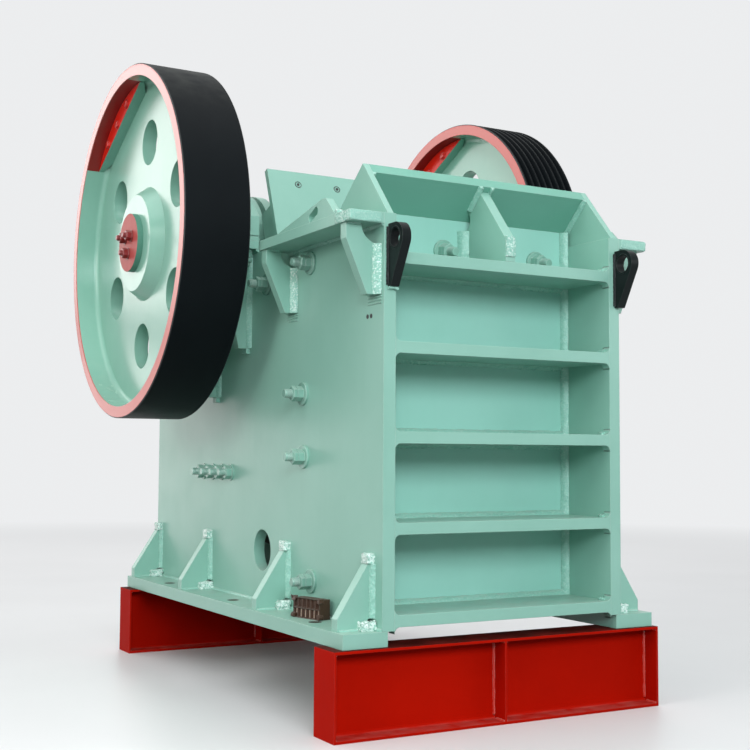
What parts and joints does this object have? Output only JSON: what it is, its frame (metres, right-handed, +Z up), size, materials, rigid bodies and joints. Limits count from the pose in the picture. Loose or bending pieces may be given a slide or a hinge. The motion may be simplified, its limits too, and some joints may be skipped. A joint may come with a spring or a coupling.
{
  "type": "single toggle jaw crusher",
  "caption": "Single toggle jaw crusher with ribbed welded frame, heavy flywheel and grooved belt pulley, toothed jaw plates and swing jaw, standing on two red steel beams.",
  "frame": {"origin": "floor level below the middle of the whole machine, lugs and tension rods counted", "axes": "+Z up, +X to the belt pulley's side, +Y from the fixed jaw to the rear wall"},
  "size_m": [2.272, 2.852, 3.0628],
  "materials": {
    "green_enamel": "gloss",
    "wheel_enamel": "high gloss",
    "red_enamel": "gloss",
    "black_enamel": "gloss",
    "manganese_steel": "rough cast",
    "bare_steel": "machined"
  },
  "bodies": {
    "frame": {"left_side_plate": "green_enamel", "right_side_plate": "green_enamel", "front_wall": "green_enamel", "front_ribs": "green_enamel", "front_centre_gusset": "green_enamel", "feed_lip": "green_enamel", "left_base_plate": "green_enamel", "right_base_plate": "green_enamel", "left_base_gussets": "green_enamel", "right_base_gussets": "green_enamel", "left_top_flange": "green_enamel", "right_top_flange": "green_enamel", "left_flange_gussets": "green_enamel", "right_flange_gussets": "green_enamel", "left_ear_plate": "green_enamel", "right_ear_plate": "green_enamel", "left_lifting_lug": "black_enamel", "right_lifting_lug": "black_enamel", "rear_wall": "green_enamel", "rear_ribs": "green_enamel", "left_bearing_saddle": "green_enamel", "right_bearing_saddle": "green_enamel", "left_saddle_gussets": "green_enamel", "right_saddle_gussets": "green_enamel", "left_bearing_housing": "green_enamel", "right_bearing_housing": "green_enamel", "swing_jaw": "green_enamel", "jaw_guard_plate": "green_enamel", "fixed_jaw_plate": "manganese_steel", "fixed_jaw_wedge": "manganese_steel", "moving_jaw_plate": "manganese_steel", "cheek_plates": "manganese_steel", "toggle_plate": "bare_steel", "toggle_block": "green_enamel", "tension_rods": "bare_steel", "tension_springs": "red_enamel", "front_beam": "red_enamel", "rear_beam": "red_enamel"},
    "rotor": {"main_shaft": "bare_steel", "flywheel": "wheel_enamel", "flywheel_weights": "red_enamel", "drive_pulley": "wheel_enamel", "pulley_weights": "red_enamel", "shaft_end_caps": "red_enamel"}
  },
  "joints": [
    {"name": "main_shaft_turns", "type": "hinge", "parent": "frame", "child": "rotor", "pos_m": [0, 0.439, 2.174], "axis": [1, 0, 0], "continuous": true}
  ]
}
